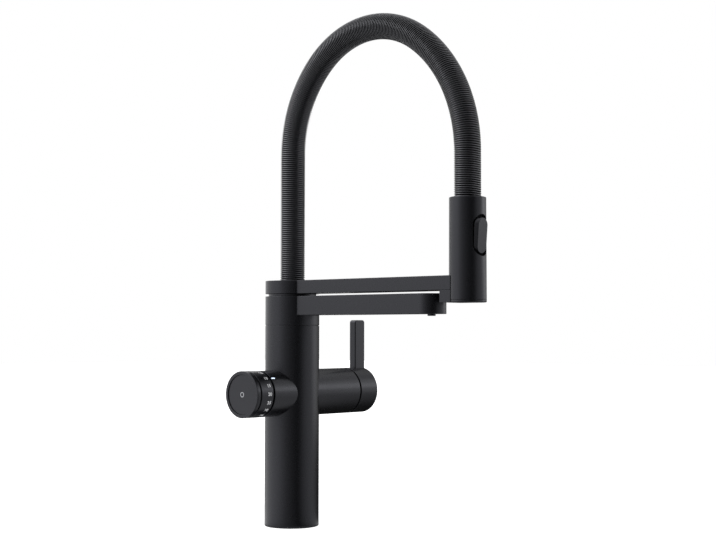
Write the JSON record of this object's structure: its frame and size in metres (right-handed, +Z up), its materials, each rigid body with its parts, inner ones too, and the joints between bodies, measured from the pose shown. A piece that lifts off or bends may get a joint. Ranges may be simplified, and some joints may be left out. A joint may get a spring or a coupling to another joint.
{
  "type": "water filter kitchen tap",
  "caption": "Tall black kitchen mixer tap with an arched spring hose, docked pull-out spray head, separate filtered-water spout, dial with push button and side lever.",
  "frame": {"origin": "centre of the foot on the worktop", "axes": "+Z up, +X along the spouts, +Y towards the lever, -Y towards the dial"},
  "size_m": [0.2669, 0.1723, 0.4966],
  "materials": {
    "satin_black_metal": "satin black coating on brass",
    "satin_black_plastic": "satin black moulded plastic",
    "black_rubber": "soft matt rubber",
    "black_spring_sleeve": "satin black ribbed sleeve",
    "water_hose": "smooth grey hose",
    "bare_brass": "machined",
    "bearing_plastic": "smooth dark engineering plastic",
    "stainless_steel": "machined stainless steel",
    "cartridge_plastic": "smooth light plastic",
    "grey_plastic": "smooth dark grey plastic",
    "nickel_magnet": "nickel plated",
    "circuit_board": "lacquered board",
    "light_window": "milky window of the indicator light"
  },
  "bodies": {
    "column": {"column_body": "satin_black_metal", "mixer_housing": "satin_black_metal", "dial_stub": "satin_black_metal", "base_plate": "bare_brass", "base_seal": "black_rubber", "water_block": "bare_brass", "riser_tube": "bearing_plastic", "swivel_post": "bare_brass", "post_seals": "black_rubber", "swivel_washer": "satin_black_plastic", "neck_ring": "satin_black_metal", "mixer_cartridge": "cartridge_plastic", "cartridge_nut": "bare_brass", "light_window": "light_window", "filter_valve": "bare_brass", "dial_sensor": "circuit_board", "dial_bearing": "bearing_plastic"},
    "mixer": {"cartridge_driver": "cartridge_plastic", "driver_pin": "stainless_steel"},
    "lever": {"lever_stem": "stainless_steel", "lever_cap": "satin_black_metal", "lever_blade": "satin_black_metal", "grub_screw": "stainless_steel"},
    "dial": {"dial_shaft": "stainless_steel", "shaft_clip": "stainless_steel", "number_ring": "satin_black_metal", "dial_rim": "satin_black_metal", "button_dome": "black_rubber"},
    "button": {"push_button": "satin_black_plastic"},
    "spout": {"spout_body": "satin_black_metal", "spout_bush": "bearing_plastic", "spout_tube": "bearing_plastic", "spout_jet": "satin_black_metal", "spout_aerator": "grey_plastic"},
    "arm": {"docking_arm": "satin_black_metal", "dock_magnet": "nickel_magnet", "arm_bush": "bearing_plastic", "hose_nipple": "bare_brass", "hose_ferrule": "stainless_steel", "spring_sleeve": "black_spring_sleeve", "inner_hose": "water_hose"},
    "head": {"head_shell": "satin_black_plastic", "head_collar": "bearing_plastic", "swivel_nut": "stainless_steel", "diverter_body": "bearing_plastic", "diverter_valve": "cartridge_plastic", "water_core": "bearing_plastic", "spray_face": "grey_plastic", "spray_nozzles": "black_rubber", "spray_aerator": "grey_plastic", "head_keeper": "stainless_steel", "rocker_pin": "stainless_steel"},
    "rocker": {"rocker_button": "satin_black_plastic"}
  },
  "joints": [
    {"name": "spout_swivel", "type": "hinge", "parent": "column", "child": "spout", "pos_m": [0, 0, 0.213], "axis": [0, 0, 1], "range_deg": [-70, 70]},
    {"name": "arm_swivel", "type": "hinge", "parent": "column", "child": "arm", "pos_m": [0, 0, 0.2365], "axis": [0, 0, 1], "range_deg": [-70, 70]},
    {"name": "head_pull", "type": "slide", "parent": "arm", "child": "head", "axis": [1, 0, 0], "range_m": [0, 0.06], "stiffness_N_per_m": 40, "springref_m": -0.05, "deforming": ["spring_sleeve", "inner_hose"]},
    {"name": "spray_toggle", "type": "hinge", "parent": "head", "child": "rocker", "pos_m": [0.2312, 0, 0.2785], "axis": [0, -1, 0], "range_deg": [0, 8.4]},
    {"name": "lever_mix", "type": "hinge", "parent": "column", "child": "mixer", "pos_m": [0, 0.046, 0.1316], "axis": [0, 1, 0], "range_deg": [-45, 45]},
    {"name": "lever_flow", "type": "hinge", "parent": "mixer", "child": "lever", "pos_m": [0, 0.046, 0.1316], "axis": [-1, 0, 0], "range_deg": [0, 20]},
    {"name": "dial_turn", "type": "hinge", "parent": "column", "child": "dial", "pos_m": [0, -0.055, 0.1316], "axis": [0, 1, 0], "continuous": true},
    {"name": "dial_press", "type": "slide", "parent": "dial", "child": "button", "axis": [0, 1, 0], "range_m": [0, 0.0008], "stiffness_N_per_m": 400, "springref_m": -0.001, "deforming": ["button_dome"]}
  ]
}
